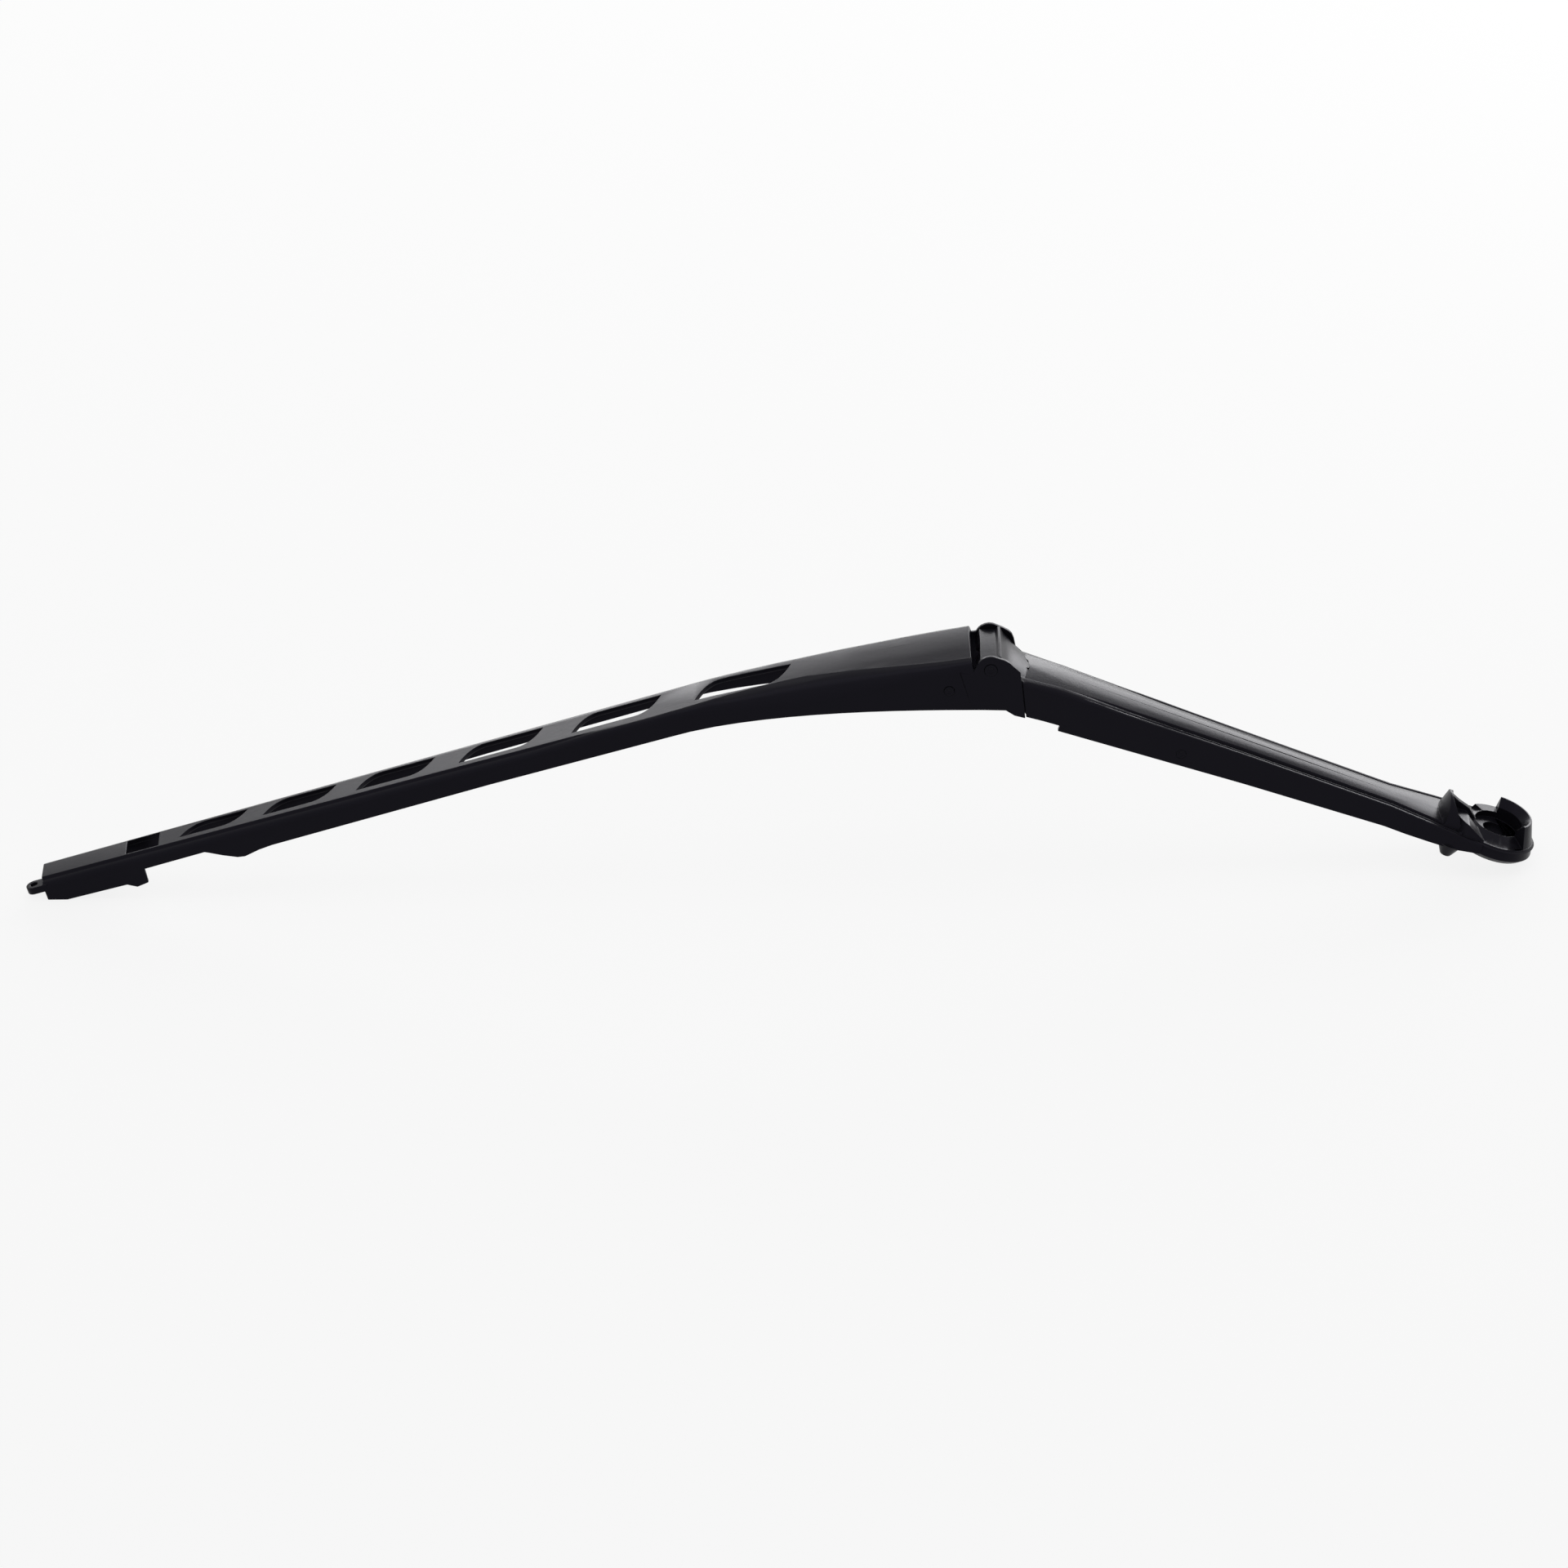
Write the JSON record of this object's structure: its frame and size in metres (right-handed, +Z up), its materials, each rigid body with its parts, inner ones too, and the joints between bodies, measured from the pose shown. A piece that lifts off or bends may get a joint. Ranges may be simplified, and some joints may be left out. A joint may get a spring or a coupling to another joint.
{
  "type": "wiper arm",
  "caption": "Black windscreen wiper arm: a cast head with a spindle boss, and a folding sheet channel with leaf-shaped holes and a blade socket, drawn down by a tension spring.",
  "frame": {"origin": "centre of the spindle bore on the head's underside", "axes": "+X from the blade's end towards the spindle, +Y across the arm away from the viewer, +Z up, with both ends of the arm about level"},
  "size_m": [0.6037, 0.0342, 0.1033],
  "materials": {
    "black_paint": "satin black",
    "plated_steel": "zinc plated"
  },
  "bodies": {
    "head": {"head_casting": "black_paint", "hinge_bush_near": "plated_steel", "hinge_bush_far": "plated_steel", "head_spring_pin": "black_paint"},
    "arm": {"arm_channel": "black_paint", "hinge_pin": "black_paint", "arm_spring_pin": "black_paint"},
    "link": {"spring_link": "plated_steel", "tension_spring": "plated_steel"}
  },
  "joints": [
    {"name": "arm_hinge", "type": "hinge", "parent": "head", "child": "arm", "pos_m": [-0.19815, 0, 0.09083], "axis": [0, 1, 0], "range_deg": [0, 60]},
    {"name": "link_pivot", "type": "hinge", "parent": "arm", "child": "link", "pos_m": [-0.21469, 0, 0.08199], "axis": [0, 1, 0], "range_deg": [-51, 0]}
  ],
  "couplings": [
    {"joint": "link_pivot", "follows": "arm_hinge", "ratio": -0.84}
  ]
}
